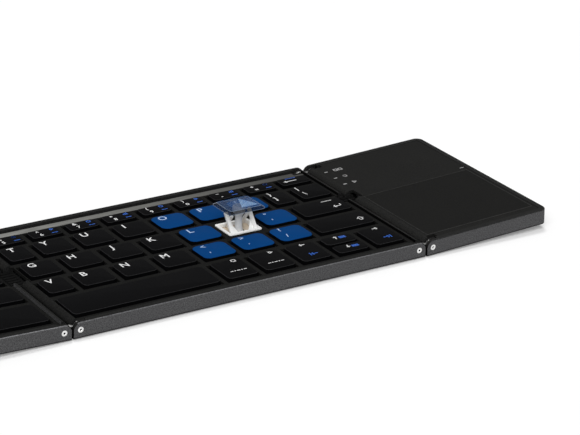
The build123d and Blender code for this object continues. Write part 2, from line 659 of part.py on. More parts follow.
touch = block(SEAM_R + TOUCH_D0, px1 - TOUCH_MARGIN, TOUCH_V0, TOUCH_V0 + TOUCH_L, Z_COVER - TOUCH_T, Z_COVER)
cell = block(SEAM_R + INNER_D, px1 - CELL_MARGIN, cell_v0, cell_v0 + CELL_L, z_floor, z_floor + CELL_T)
save("touchpad_base_shell", touchpad_shell(), tilt_pad)
save("touchpad_cover", touchpad_cover(), tilt_pad)
save("touch_surface", fillet(touch.edges().filter_by(Axis.Z), TOUCH_R), tilt_pad)
save("main_board", main_board(), tilt_pad)
save("battery_cell", fillet(cell.edges().filter_by(Axis.Y), CELL_R), tilt_pad)
save("touchpad_pivot_screws", pivot_screws(pad_seams), tilt_pad)

# ---------------------------------------------------------------- hinges
for name, xs in (("left", SEAM_L), ("touchpad", SEAM_R)):
    save(name + "_hinge_links", hinge_links(xs))
    save(name + "_cable_bridge", cable_bridge(xs))
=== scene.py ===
import json
import math

import bmesh
import bpy
from mathutils import Matrix, Vector


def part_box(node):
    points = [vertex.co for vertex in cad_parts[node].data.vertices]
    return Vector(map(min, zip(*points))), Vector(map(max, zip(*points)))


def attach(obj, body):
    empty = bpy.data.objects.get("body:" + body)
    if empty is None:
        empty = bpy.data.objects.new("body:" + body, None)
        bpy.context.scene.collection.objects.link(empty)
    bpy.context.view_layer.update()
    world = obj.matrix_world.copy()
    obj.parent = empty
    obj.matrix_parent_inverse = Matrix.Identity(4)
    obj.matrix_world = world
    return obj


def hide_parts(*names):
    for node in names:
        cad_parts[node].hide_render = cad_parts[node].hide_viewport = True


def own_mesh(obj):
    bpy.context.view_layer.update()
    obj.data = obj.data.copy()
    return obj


# Folding keyboard with three panels, one key opened up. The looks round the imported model.
# Sizes and places are in millimetres unless a comment says metres; build() turns a mesh into metres.

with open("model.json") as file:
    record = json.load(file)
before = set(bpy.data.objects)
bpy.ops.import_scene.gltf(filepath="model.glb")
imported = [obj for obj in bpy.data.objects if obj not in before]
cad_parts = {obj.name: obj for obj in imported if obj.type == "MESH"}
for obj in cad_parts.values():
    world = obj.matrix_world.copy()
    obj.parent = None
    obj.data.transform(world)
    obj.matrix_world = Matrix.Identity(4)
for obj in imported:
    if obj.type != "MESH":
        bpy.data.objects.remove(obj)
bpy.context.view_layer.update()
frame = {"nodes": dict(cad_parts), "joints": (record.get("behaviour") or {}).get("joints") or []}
MM = 0.001

# ---------------------------------------------------------------- places read from the frame


def box_mm(node):
    lo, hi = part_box(node)
    return lo / MM, hi / MM


def pin_mm(joint):
    found = next(j for j in frame["joints"] if j["name"] == joint)
    return Vector(found["pos_m"]) / MM


TILT_LEFT = 2.0          # degrees that each outer panel is turned at rest
TILT_PAD = -2.3


def tilt_about(pin, degrees):
    turn = Matrix.Rotation(math.radians(degrees), 4, "Y")
    return Matrix.Translation(pin) @ turn @ Matrix.Translation(-pin)


PIN_LEFT = pin_mm("fold_left_outer")
PIN_PAD = pin_mm("fold_touchpad_outer")
FLAT = Matrix.Identity(4)
LEFT = tilt_about(PIN_LEFT, TILT_LEFT)
PAD = tilt_about(PIN_PAD, TILT_PAD)

Z_DECK = box_mm("centre_key_frame")[1].z
Z_PIN = PIN_PAD.z
SEAM_L = (pin_mm("fold_left_inner").x + PIN_LEFT.x) / 2
SEAM_R = (pin_mm("fold_touchpad_inner").x + PIN_PAD.x) / 2
FRONT = box_mm("centre_base_shell")[0].y
REAR = -FRONT

# ---------------------------------------------------------------- sizes of the caps
TAB_REACH = 0.9          # a CAD cap's box is this much longer than its top, at each side
FLARE = 0.2              # and this much deeper, front and rear
CAP_FOOT = 2.4           # height of the visible cap, down into the deck
CAP_EDGE = 0.3           # rounding of the top edge
CAP_SLOPE = 0.45         # the wall leans in by this much
BLUE_SLOPE = 0.1
CAP_RADIUS = 2.4         # of the upright corners
BLUE_RADIUS = 3.0
NUMBER_RADIUS = 1.7
EDGE_STEPS = 4
CORNER_STEPS = 6

# ---------------------------------------------------------------- mesh helpers
WELD = 1e-3              # vertices nearer than this are one
AXIS_R = 0.001           # radius of a turned solid's end, in place of 0
SHARP = math.radians(38)   # edges over this angle are hard
BEVEL_SHAPE = 0.6


def solid_boxes(node, tilt=FLAT):
    """Lowest and highest corner of each separate solid of a CAD node, with its panel laid flat."""
    bm = bmesh.new()
    bm.from_mesh(frame["nodes"][node].data)
    bmesh.ops.scale(bm, vec=(1 / MM,) * 3, verts=bm.verts)
    bmesh.ops.remove_doubles(bm, verts=bm.verts, dist=WELD)
    bmesh.ops.transform(bm, matrix=tilt.inverted(), verts=bm.verts)
    waiting = set(bm.verts)
    boxes = []
    while waiting:
        reached = {waiting.pop()}
        edge_of_search = list(reached)
        while edge_of_search:
            vert = edge_of_search.pop()
            for edge in vert.link_edges:
                other = edge.other_vert(vert)
                if other not in reached:
                    reached.add(other)
                    edge_of_search.append(other)
        waiting -= reached
        lo = Vector([min(v.co[i] for v in reached) for i in range(3)])
        hi = Vector([max(v.co[i] for v in reached) for i in range(3)])
        boxes.append((lo, hi))
    bm.free()
    return sorted(boxes, key=lambda b: (round(b[0].x, 2), round(b[0].y, 2)))


def rounded(cx, cy, w, d, r, steps=CORNER_STEPS):
    """Corners of a rectangle with round corners, anticlockwise from above."""
    points = []
    for sx, sy, turn in ((1, 1, 0), (-1, 1, 90), (-1, -1, 180), (1, -1, 270)):
        for i in range(steps + 1):
            a = math.radians(turn + 90 * i / steps)
            points.append((cx + sx * (w / 2 - r) + r * math.cos(a), cy + sy * (d / 2 - r) + r * math.sin(a)))
    return points


def circle(cx, cy, r, count=32):
    turn = 2 * math.pi / count
    return [(cx + r * math.cos(i * turn), cy + r * math.sin(i * turn)) for i in range(count)]


def loft(bm, rings, indices=0):
    """Closed skin through rings of equal length, from the bottom up. indices: the material of each band."""
    made = [[bm.verts.new(p) for p in ring] for ring in rings]
    if isinstance(indices, int):
        indices = [indices] * (len(rings) - 1)
    count = len(made[0])
    for low, high, index in zip(made, made[1:], indices):
        for i in range(count):
            j = (i + 1) % count
            bm.faces.new((low[i], low[j], high[j], high[i])).material_index = index
    bm.faces.new(list(reversed(made[0]))).material_index = indices[0]
    bm.faces.new(made[-1]).material_index = indices[-1]
    return made


def slab(bm, outline, z0, z1, edge):
    """Upright slab over an outline of points, its top edge cut by a small slope."""
    cx = sum(p[0] for p in outline) / len(outline)
    cy = sum(p[1] for p in outline) / len(outline)
    reach = max(max(abs(x - cx), abs(y - cy)) for x, y in outline)
    k = 1 - edge / reach
    rings = [[(x, y, z0) for x, y in outline], [(x, y, z1 - edge) for x, y in outline],
             [(cx + (x - cx) * k, cy + (y - cy) * k, z1) for x, y in outline]]
    return loft(bm, rings)


def washer(bm, outer, inner, z0, z1):
    """Flat ring between two outlines with the same number of points."""
    made = [[bm.verts.new((x, y, z)) for x, y in outline]
            for outline, z in ((outer, z0), (outer, z1), (inner, z1), (inner, z0))]
    made.append(made[0])
    count = len(outer)
    for low, high in zip(made, made[1:]):
        for i in range(count):
            j = (i + 1) % count
            bm.faces.new((low[i], low[j], high[j], high[i]))


def lathe(bm, profile, place, count=32, indices=0):
    """Turned solid from (radius, height) points; place moves it from the Z axis."""
    rings = [[(x, y, z) for x, y in circle(0, 0, r, count)] for r, z in profile]
    made = loft(bm, rings, indices)
    bmesh.ops.transform(bm, matrix=place, verts=[v for ring in made for v in ring])


def bar(bm, lo, hi):
    """Block between two corners."""
    outline = [(lo[0], lo[1]), (hi[0], lo[1]), (hi[0], hi[1]), (lo[0], hi[1])]
    loft(bm, [[(x, y, z) for x, y in outline] for z in (lo[2], hi[2])])


def build(name, bm, materials, body, tilt=FLAT, bevel=0.0):
    """Finishes a mesh drawn in millimetres on a flat panel, and lets it ride on a body."""
    bmesh.ops.recalc_face_normals(bm, faces=bm.faces)
    if bevel:
        edges = [e for e in bm.edges if e.is_manifold and e.calc_face_angle() > SHARP]
        bmesh.ops.bevel(bm, geom=edges, offset=bevel, segments=2, affect="EDGES",
                        profile=BEVEL_SHAPE, clamp_overlap=True)
    bmesh.ops.transform(bm, matrix=Matrix.Scale(MM, 4) @ tilt, verts=bm.verts)
    for face in bm.faces:
        face.smooth = True
    for edge in bm.edges:
        edge.smooth = edge.is_manifold and edge.calc_face_angle() < SHARP
    mesh = bpy.data.meshes.new(name)
    bm.to_mesh(mesh)
    bm.free()
    for material in materials:
        mesh.materials.append(material)
    piece = bpy.data.objects.new(name, mesh)
    bpy.context.scene.collection.objects.link(piece)
    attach(piece, body)
    return piece


# ---------------------------------------------------------------- material helpers
MIX_A, MIX_B, MIX_RESULT = 6, 7, 2   # the colour sockets of a Mix node


class Shader:
    """A Principled material and short calls that add nodes to it."""

    def __init__(self, name):
        self.material = bpy.data.materials.new(name)
        self.material.use_nodes = True
        self.tree = self.material.node_tree
        self.surface = self.tree.nodes["Principled BSDF"]
        self.coords = self.add("ShaderNodeTexCoord")

    def add(self, kind, **settings):
        node = self.tree.nodes.new(kind)
        for key, value in settings.items():
            setattr(node, key, value)
        return node

    def link(self, source, target):
        self.tree.links.new(source, target)

    def plain(self, **values):
        for key, value in values.items():
            self.surface.inputs[key.replace("_", " ")].default_value = value

    def noise(self, size, detail=2.0, stretch=(1, 1, 1)):
        """Noise with features of this size in millimetres."""
        scaled = self.add("ShaderNodeMapping")
        scaled.inputs["Scale"].default_value = [k / (size * MM) for k in stretch]
        self.link(self.coords.outputs["Object"], scaled.inputs["Vector"])
        node = self.add("ShaderNodeTexNoise")
        node.inputs["Scale"].default_value = 1.0
        node.inputs["Detail"].default_value = detail
        self.link(scaled.outputs["Vector"], node.inputs["Vector"])
        return node.outputs["Fac"]

    def math(self, operation, first, second=0.0, third=0.0):
        node = self.add("ShaderNodeMath", operation=operation)
        for socket, value in zip(node.inputs, (first, second, third)):
            if isinstance(value, (int, float)):
                socket.default_value = value
            else:
                self.link(value, socket)
        return node.outputs["Value"]

    def spread(self, value, low, high, lo=0.35, hi=0.65):
        """Maps a noise value onto low…high, steeper than the noise itself."""
        node = self.add("ShaderNodeMapRange")
        node.inputs["From Min"].default_value = lo
        node.inputs["From Max"].default_value = hi
        node.inputs["To Min"].default_value = low
        node.inputs["To Max"].default_value = high
        self.link(value, node.inputs["Value"])
        return node.outputs["Result"]

    def mix(self, share, first, second):
        node = self.add("ShaderNodeMix", data_type="RGBA")
        self.link(share, node.inputs["Factor"])
        for socket, value in ((node.inputs[MIX_A], first), (node.inputs[MIX_B], second)):
            if isinstance(value, tuple):
                socket.default_value = (*value, 1.0)
            else:
                self.link(value, socket)
        return node.outputs[MIX_RESULT]

    def bump(self, height, depth):
        """Bump of this depth in millimetres."""
        node = self.add("ShaderNodeBump")
        node.inputs["Strength"].default_value = 1.0
        node.inputs["Distance"].default_value = depth * MM
        self.link(height, node.inputs["Height"])
        self.link(node.outputs["Normal"], self.surface.inputs["Normal"])

    def normal_axes(self):
        """The surface's own normal in the object's axes, as x, y and z."""
        node = self.add("ShaderNodeSeparateXYZ")
        self.link(self.coords.outputs["Normal"], node.inputs["Vector"])
        return node.outputs["X"], node.outputs["Y"], node.outputs["Z"]

    def place(self):
        """Where a point is in the object's axes, which are the frame's, in metres."""
        node = self.add("ShaderNodeSeparateXYZ")
        self.link(self.coords.outputs["Object"], node.inputs["Vector"])
        return node.outputs["X"], node.outputs["Y"], node.outputs["Z"]

    def finish(self, colour, roughness):
        self.link(colour, self.surface.inputs["Base Color"])
        if isinstance(roughness, (int, float)):
            self.surface.inputs["Roughness"].default_value = roughness
        else:
            self.link(roughness, self.surface.inputs["Roughness"])
        return self.material


def srgb(r, g, b):
    """Colour as read on a screen, 0 to 255."""
    def one(c):
        c /= 255
        return c / 12.92 if c <= 0.04045 else ((c + 0.055) / 1.055) ** 2.4
    return (one(r), one(g), one(b))


HANDLING = 18.0          # size of the slow handling marks
HANDLING_SHARE = 0.35    # how far they lighten the plastic


def grained(name, dark, light, grain, depth, roughness, specular, **plain):
    """Moulded plastic: fine grain in colour, gloss and height, and slow handling marks over it."""
    s = Shader(name)
    s.plain(Specular_IOR_Level=specular, **plain)
    fine = s.noise(grain, 3.0)
    slow = s.noise(HANDLING, 2.0)
    speckle = s.mix(s.spread(fine, 0.0, 1.0), dark, light)
    colour = s.mix(s.spread(slow, 0.0, HANDLING_SHARE), speckle, light)
    s.bump(fine, depth)
    low, high = roughness
    gloss = s.math("ADD", s.spread(fine, low, high), s.spread(slow, -0.05, 0.05))
    return s.finish(colour, gloss)


def deck_with_painted_strip(name, dark, light):
    """Textured deck plastic with a bright strip of painted reflection at the foot of the rear wall, and
    painted shade that dulls it toward the right.
    """
    s = Shader(name)
    s.plain(Specular_IOR_Level=0.003)
    fine = s.noise(0.35, 3.0)
    colour = s.mix(s.spread(fine, 0.0, 1.0), dark, light)
    # painted reflection: a bright streaked strip at the foot of the rear wall
    streak = s.noise(0.5, 2.0, stretch=(0.06, 1, 1))
    bright = s.mix(s.spread(streak, 0.0, 1.0), *STRIP_REFLECTION_TONES)
    x, y, _ = s.place()
    # painted shade: the strip dulls toward the right, by x
    start, end = STRIP_SHADE_FADE
    along = s.math("MULTIPLY_ADD", x, 1 / (end - start) / MM, -start / (end - start))
    bright = s.mix(along, bright, STRIP_SHADE_TONE)
    behind_keys = s.math("GREATER_THAN", y, (REAR - RIM - STRIP_D) * MM)
    colour = s.mix(behind_keys, colour, bright)
    s.bump(fine, 0.03)
    return s.finish(colour, s.spread(fine, 0.5, 0.68))


def blasted_shell(name, seam_signs, top_tones, cut_light_tones, tilt):
    """Blasted dark aluminium: grey sides with painted shade along their lower edge, dark top, seam noses
    painted black as shade, a cut edge with painted light for each panel, and dark inner walls.

    seam_signs: the side of each seam, -1 for the left and 1 for the right."""
    s = Shader(name)
    s.plain(Specular_IOR_Level=0.01)
    fine = s.noise(0.5, 3.0)
    slow = s.noise(30.0, 2.0)
    x, y, z = s.normal_axes()
    side = s.mix(s.spread(fine, 0.0, 1.0), *SIDE_TONES)
    side = s.mix(s.spread(slow, 0.0, 0.3), side, SIDE_PATCH)
    at_x, at_y, at_z = s.place()
    # painted shade: the sides darken toward their lower edge, measured on the panel laid flat
    across, _, up, offset = tilt.inverted()[2]
    height = s.math("MULTIPLY_ADD", at_z, up, offset * MM)
    height = s.math("MULTIPLY_ADD", at_x, across, height)
    low = s.spread(height, 1.0, 0.0, *(h * MM for h in LOW_SHADE_HEIGHTS))
    side = s.mix(s.math("MULTIPLY", low, s.math("GREATER_THAN", z, FACES_DOWN)), side, LOW_SHADE_TONE)
    top = s.mix(s.spread(fine, 0.0, 1.0), *top_tones)
    dark = s.math("GREATER_THAN", z, FLAT_FACE)
    edge = s.math("COMPARE", z, *CUT_FACE)
    for sign in seam_signs:
        toward_seam = s.math("GREATER_THAN", s.math("MULTIPLY", x, sign), SEAM_FACE)
        nose = s.math("MULTIPLY", toward_seam, s.math("GREATER_THAN", z, NOSE_FACE))
        # painted shade: the nose in the seam's groove darkens toward black
        top = s.mix(s.math("MULTIPLY", nose, s.spread(z, 1.0, 0.0, *NOSE_FADE)), top, NOSE_SHADE_TONE)
        dark = s.math("MAXIMUM", dark, nose)
        edge = s.math("MULTIPLY", edge, s.math("SUBTRACT", 1.0, toward_seam))
    colour = s.mix(dark, side, top)
    # painted highlight on the 45 degree cut edge: brighter on the left panel as painted light, dark on the
    # touchpad panel as painted shade
    cut = s.mix(s.spread(fine, 0.0, 1.0), *cut_light_tones)
    colour = s.mix(edge, colour, cut)
    metal = s.math("SUBTRACT", 1.0, dark)
    within = s.math("LESS_THAN", s.math("ABSOLUTE", at_y), (REAR - WALL_SKIN) * MM)
    inner = s.math("MULTIPLY", s.math("GREATER_THAN", s.math("ABSOLUTE", y), FLAT_FACE), within)
    colour = s.mix(inner, colour, s.mix(s.spread(fine, 0.0, 1.0), *WALL_TONES))
    s.bump(fine, 0.012)
    s.link(s.math("MULTIPLY", metal, METAL_SHARE), s.surface.inputs["Metallic"])
    return s.finish(colour, s.math("ADD", s.spread(fine, 0.42, 0.6), s.spread(slow, -0.04, 0.04)))


def turned_steel(name, stretch, dark, light):
    """Steel with fine tool marks."""
    s = Shader(name)
    s.plain(Metallic=1.0)
    lines = s.noise(0.25, 3.0, stretch=stretch)
    slow = s.noise(2.0)
    colour = s.mix(s.spread(lines, 0.0, 1.0), dark, light)
    colour = s.mix(s.spread(slow, 0.0, 0.25), colour, dark)
    s.bump(lines, 0.006)
    return s.finish(colour, s.spread(lines, 0.2, 0.36))


def clear_plastic(name, dark, light, cover, roughness):
    """Clear polycarbonate as a thin tinted skin with light scratches.

    cover: the share of what is behind it that it hides."""
    s = Shader(name)
    s.plain(Alpha=cover, Specular_IOR_Level=0.1)
    scratch = s.noise(0.5, 4.0, stretch=(0.25, 1, 1))
    slow = s.noise(6.0)
    s.bump(scratch, 0.002)
    return s.finish(s.mix(s.spread(slow, 0.0, 1.0), dark, light), s.spread(scratch, *roughness))


def milky_rubber(name):
    """Silicone spring: pale, satin and a little see-through."""
    s = Shader(name)
    s.plain(Alpha=0.85, Specular_IOR_Level=0.15)
    fine = s.noise(0.35, 2.0)
    slow = s.noise(2.5)
    colour = s.mix(s.spread(slow, 0.0, 1.0), srgb(226, 230, 236), srgb(246, 248, 250))
    s.bump(fine, 0.01)
    return s.finish(colour, s.spread(fine, 0.3, 0.45))


def circuit_board(name):
    """Solder mask over copper tracks, shown only when the part is opened."""
    s = Shader(name)
    s.plain(Specular_IOR_Level=0.4)
    tracks = s.add("ShaderNodeTexBrick")
    tracks.inputs["Scale"].default_value = 1 / (TRACK_SIZE * MM)
    tracks.inputs["Mortar Size"].default_value = 0.03
    tracks.inputs["Color1"].default_value = (*srgb(10, 11, 12), 1)
    tracks.inputs["Color2"].default_value = (*srgb(15, 16, 17), 1)
    tracks.inputs["Mortar"].default_value = (*srgb(30, 32, 34), 1)
    s.link(s.coords.outputs["Object"], tracks.inputs["Vector"])
    fine = s.noise(0.5)
    s.bump(fine, 0.01)
    return s.finish(tracks.outputs["Color"], s.spread(fine, 0.3, 0.45))


def printed(name, colour, worn):
    """Printed legend: slightly uneven ink."""
    s = Shader(name)
    s.plain(Specular_IOR_Level=0.2)
    fine = s.noise(0.2, 2.0)
    s.bump(fine, 0.003)
    return s.finish(s.mix(s.spread(fine, 0.0, 1.0), worn, colour), s.spread(fine, 0.45, 0.6))


# sizes that the looks follow
RIM = 2.7                # thickness of a shell's outer wall
LOW_SHADE_HEIGHTS = (0.7, 1.25)   # heights between which the painted shade along the lower edge fades
WALL_SKIN = 0.5          # walls farther in than this are inner ones
STRIP_D = 4.0            # depth of the strip of painted reflection, from the rear wall
STRIP_SHADE_FADE = (-170.0, 90.0)   # x between which painted shade dulls the strip toward the right
TRACK_SIZE = 9.0

# parts of a surface's normal, by which faces are told apart
FLAT_FACE = 0.9          # over this along an axis: square to it
FACES_DOWN = -0.5        # under this: the underside
CUT_FACE = (0.707, 0.1)  # the 45 degree edge, and how near to it
SEAM_FACE = 0.3          # over this: toward the seam
NOSE_FACE = -0.1         # over this, a face toward the seam belongs to the nose
NOSE_FADE = (0.1, 0.55)  # between these the nose goes from black painted shade to the top's tone

METAL_SHARE = 0.35
SIDE_TONES = (srgb(60, 60, 61), srgb(98, 98, 99))
SIDE_PATCH = srgb(76, 76, 78)
# painted shade along the shells' lower edge
LOW_SHADE_TONE = srgb(24, 24, 25)
# painted shade in the seams' groove
NOSE_SHADE_TONE = srgb(9, 9, 9)
WALL_TONES = (srgb(32, 32, 32), srgb(48, 48, 48))
# painted reflection on the deck's strip, and the painted shade that dulls it
STRIP_REFLECTION_TONES = (srgb(140, 140, 136), srgb(184, 184, 180))
STRIP_SHADE_TONE = srgb(78, 78, 76)
DECK_TONES = (srgb(20, 20, 20), srgb(35, 35, 34))
PAD_TONES = (srgb(24, 24, 24), srgb(40, 40, 39))
# painted light on the cut edge: a highlight on the centre panel, a brighter one on the left panel, painted
# shade on the touchpad panel
CENTRE_CUT_HIGHLIGHT = (srgb(82, 82, 84), srgb(112, 112, 114))
LEFT_CUT_HIGHLIGHT = (srgb(94, 94, 96), srgb(134, 134, 136))
PAD_CUT_SHADE = (srgb(30, 30, 30), srgb(56, 56, 56))
shell_centre = blasted_shell("blasted_shell_centre", (-1, 1), DECK_TONES, CENTRE_CUT_HIGHLIGHT, FLAT)
shell_left = blasted_shell("blasted_shell_left", (1,), DECK_TONES, LEFT_CUT_HIGHLIGHT, LEFT)
shell_pad = blasted_shell("blasted_shell_pad", (-1,), PAD_TONES, PAD_CUT_SHADE, PAD)
steel = turned_steel("turned_steel", (1, 1, 0.2), srgb(206, 206, 206), srgb(250, 250, 248))
link_steel = turned_steel("pressed_steel", (0.2, 1, 1), srgb(126, 126, 126), srgb(190, 190, 188))
deck = deck_with_painted_strip("deck_plastic_textured", *DECK_TONES)
key_black = grained("key_plastic_black", srgb(10, 10, 11), srgb(18, 18, 19), 0.3, 0.012, (0.4, 0.55), 0.002)
key_blue = grained("key_plastic_blue", srgb(8, 56, 106), srgb(13, 64, 122), 0.3, 0.012, (0.38, 0.5), 0.002)
# painted highlight: a lighter tone on the caps' rounded top edge
key_edge_highlight = grained("key_plastic_painted_highlight", srgb(34, 34, 35), srgb(48, 48, 49), 0.3, 0.012, (0.4, 0.55), 0.002)
# painted shade: the caps' walls and the shadow round them, darker than the tops
key_wall_shade = grained("key_plastic_painted_shade", srgb(4, 4, 5), srgb(9, 9, 10), 0.3, 0.01, (0.5, 0.65), 0.002)
pad_cover = grained("pad_cover_textured", *PAD_TONES, 0.3, 0.03, (0.5, 0.65), 0.003)
pad_line = grained("pad_touch_edge", srgb(46, 46, 46), srgb(62, 62, 61), 0.3, 0.01, (0.4, 0.55), 0.003)
pad_touch = grained("pad_touch_satin", srgb(20, 20, 20), srgb(34, 34, 33), 0.22, 0.014, (0.42, 0.55), 0.003)
bridge_black = grained("bridge_plastic", srgb(10, 10, 10), srgb(20, 20, 20), 0.4, 0.02, (0.45, 0.6), 0.005)
# painted shade in the screws' drive holes
drive_hole_shade = grained("screw_recess_shade", srgb(10, 10, 10), srgb(24, 24, 24), 0.2, 0.01, (0.5, 0.7), 0.02)
white_nylon = grained("white_nylon", srgb(246, 246, 244), srgb(255, 255, 253), 0.4, 0.01, (0.35, 0.5), 0.2)
cream_sheet = grained("cream_membrane", srgb(214, 196, 172), srgb(236, 222, 202), 0.6, 0.01, (0.45, 0.6),
                      0.1)
foot_rubber = grained("foot_rubber", srgb(22, 22, 22), srgb(38, 38, 38), 0.4, 0.03, (0.7, 0.85), 0.05)
cell_foil = grained("cell_foil", srgb(150, 152, 156), srgb(190, 192, 196), 1.5, 0.05, (0.3, 0.5), 0.4,
                    Metallic=0.6)
clear_top = clear_plastic("clear_top", srgb(18, 70, 128), srgb(30, 88, 148), 0.34, (0.05, 0.15))
# painted shade: the clear skirt, darker than the clear top
clear_skirt_shade = clear_plastic("clear_skirt_shade", srgb(8, 12, 20), srgb(18, 26, 40), 0.5, (0.1, 0.2))
# painted highlight: a bright triangle on the clear top
clear_highlight = clear_plastic("clear_highlight", srgb(120, 166, 220), srgb(160, 196, 234), 0.42, (0.08, 0.2))
# painted highlight: the clear cap's bright foot
clear_rim_highlight = clear_plastic("clear_rim_highlight", srgb(120, 140, 165), srgb(170, 188, 208), 0.6, (0.1, 0.2))
rubber = milky_rubber("milky_silicone")
board_black = circuit_board("circuit_board")
ink_white = printed("ink_white", srgb(240, 240, 240), srgb(214, 214, 214))
ink_blue = printed("ink_blue", srgb(40, 104, 206), srgb(30, 86, 180))
ink_soft = printed("ink_soft", srgb(184, 204, 232), srgb(150, 176, 212))
ink_grey = printed("ink_grey", srgb(176, 176, 176), srgb(140, 140, 140))


def dress(node, material):
    slots = frame["nodes"][node].data.materials
    slots.clear()
    slots.append(material)


# ---------------------------------------------------------------- caps
TOP, WALL, EDGE = range(3)   # a cap's materials; the wall's is painted shade, the edge's a painted highlight


def cap_mesh(bm, lo, hi, radius, slope):
    """Cap from the deck's opening up: sloping wall, rounded top edge, flat top.

    lo and hi: the box of a CAD cap. slope: how far the wall leans in."""
    x0, x1 = lo.x + TAB_REACH, hi.x - TAB_REACH
    y0, y1 = lo.y + FLARE, hi.y - FLARE
    z1 = hi.z
    w, d = x1 - x0, y1 - y0
    cx, cy = (x0 + x1) / 2, (y0 + y1) / 2
    steps = [(z1 - CAP_FOOT, FLARE), (z1 - CAP_EDGE, -slope)]
    for i in range(1, EDGE_STEPS + 1):
        a = math.pi / 2 * i / EDGE_STEPS
        steps.append((z1 - CAP_EDGE * (1 - math.sin(a)), -slope - CAP_EDGE * (1 - math.cos(a))))
    rings = [[(x, y, z) for x, y in rounded(cx, cy, w + 2 * grow, d + 2 * grow, radius + grow)]
             for z, grow in steps]
    # the middle steps of the rounded edge are painted as a highlight
    loft(bm, rings, [WALL, WALL] + [EDGE] * (EDGE_STEPS - 2) + [TOP])


BLUE_KEYS = ("key_o", "key_p", "key_bracket_open", "key_l", "key_quote", "key_comma", "key_period",
             "key_slash")
LEFT_ROWS = ["left_keys_row%d" % n for n in range(1, 6)]
SINGLE_KEYS = sorted(n for n in frame["nodes"] if n.startswith("key_"))


def make_cap(node, tilt=FLAT, radius=CAP_RADIUS):
    bm = bmesh.new()
    blue = node in BLUE_KEYS
    shape = (BLUE_RADIUS, BLUE_SLOPE) if blue else (radius, CAP_SLOPE)
    for lo, hi in solid_boxes(node, tilt):
        cap_mesh(bm, lo, hi, *shape)
    name = node.replace("key_", "cap_") if node in SINGLE_KEYS else node + "_caps"
    if blue:
        piece = build(name, bm, [key_blue, key_wall_shade, key_blue], node)
    else:
        piece = build(name, bm, [key_black, key_wall_shade, key_edge_highlight], node, tilt)
    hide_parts(node)


for node in SINGLE_KEYS:
    make_cap(node)
make_cap("centre_number_keys", FLAT, NUMBER_RADIUS)
for node in LEFT_ROWS:
    make_cap(node, LEFT, NUMBER_RADIUS if node.endswith("row1") else CAP_RADIUS)

# ---------------------------------------------------------------- shells, decks and hinges
for node, material in (
    ("centre_base_shell", shell_centre),
    ("left_base_shell", shell_left),
    ("touchpad_base_shell", shell_pad),
    ("centre_key_frame", deck),
    ("left_key_frame", deck),
    ("centre_key_board", board_black),
    ("left_key_board", board_black),
    ("main_board", board_black),
    ("battery_cell", cell_foil),
    ("touchpad_cover", pad_cover),
    ("touch_surface", pad_touch),
    ("left_cable_bridge", bridge_black),
    ("touchpad_cable_bridge", bridge_black),
):
    dress(node, material)

HEAD_T = 0.52
HEAD_BEVEL = 0.14
SOCKET = 0.42            # radius of the screw's drive hole
SOCKET_DEPTH = 0.42
SOCKET_LIP = 0.06
SOCKET_TIP = 0.1         # the hole's end is this much deeper
SHANK = 0.9
SHANK_TIP = 0.3          # length of the shank's pointed end


def make_screws(node, body, tilt=FLAT):
    """Pan screws with a ring of bright metal round a drive hole painted dark as shade."""
    bm = bmesh.new()
    for lo, hi in solid_boxes(node, tilt):
        x, z = (lo.x + hi.x) / 2, (lo.z + hi.z) / 2
        r = (hi.x - lo.x) / 2
        length = hi.y - lo.y
        face = lo.y if (lo.y + hi.y) < 0 else hi.y
        turn = Matrix.Rotation(math.radians(90 if face < 0 else -90), 4, "X")
        place = Matrix.Translation((x, face, z)) @ turn
        profile = [(AXIS_R, -length), (SHANK * 0.8, -length), (SHANK, -length + SHANK_TIP), (SHANK, -HEAD_T),
                   (r, -HEAD_T), (r, -HEAD_BEVEL), (r - HEAD_BEVEL * 0.5, -HEAD_BEVEL * 0.3),
                   (r - HEAD_BEVEL, 0.0), (SOCKET + SOCKET_LIP, 0.0), (SOCKET, -SOCKET_LIP),
                   (SOCKET, -SOCKET_DEPTH), (AXIS_R, -SOCKET_DEPTH - SOCKET_TIP)]
        lathe(bm, profile, place, 30, [0] * (len(profile) - 3) + [1] * 2)
    piece = build(node + "_turned", bm, [steel, drive_hole_shade], body, tilt)
    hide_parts(node)


make_screws("centre_pivot_screws", "centre_panel")
make_screws("left_pivot_screws", "left_panel", LEFT)
make_screws("touchpad_pivot_screws", "touchpad_panel", PAD)

LINK_WAIST = 3.0         # height between the two eyes
LINK_STEPS = 24
LINK_BEVEL = 0.12


def make_links(node, body):
    """Hinge links: two eyes joined by a waist, with softened edges."""
    bm = bmesh.new()
    for lo, hi in solid_boxes(node):
        r = (hi.z - lo.z) / 2
        lean = math.asin(LINK_WAIST / 2 / r)
        outline = []
        for xc, start in ((hi.x - r, lean - math.pi), (lo.x + r, lean)):
            for i in range(LINK_STEPS + 1):
                a = start + 2 * (math.pi - lean) * i / LINK_STEPS
                outline.append((xc + r * math.cos(a), r * math.sin(a)))
        loft(bm, [[(x, y, Z_PIN + z) for x, z in outline] for y in (lo.y, hi.y)])
    piece = build(node + "_pressed", bm, [link_steel], body, bevel=LINK_BEVEL)
    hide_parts(node)


make_links("left_hinge_links", "left_link")
make_links("touchpad_hinge_links", "touchpad_link")

UNDERSIDE = 0.4          # only a shell's feet reach below this


def rubber_feet(node, tilt=FLAT):
    """Gives the faces of a shell's feet a rubber finish."""
    mesh = frame["nodes"][node].data
    mesh.materials.append(foot_rubber)
    flat = tilt.inverted()
    for face in mesh.polygons:
        if (flat @ (face.center / MM)).z < UNDERSIDE:
            face.material_index = 1


rubber_feet("centre_base_shell")
rubber_feet("left_base_shell", LEFT)
rubber_feet("touchpad_base_shell", PAD)

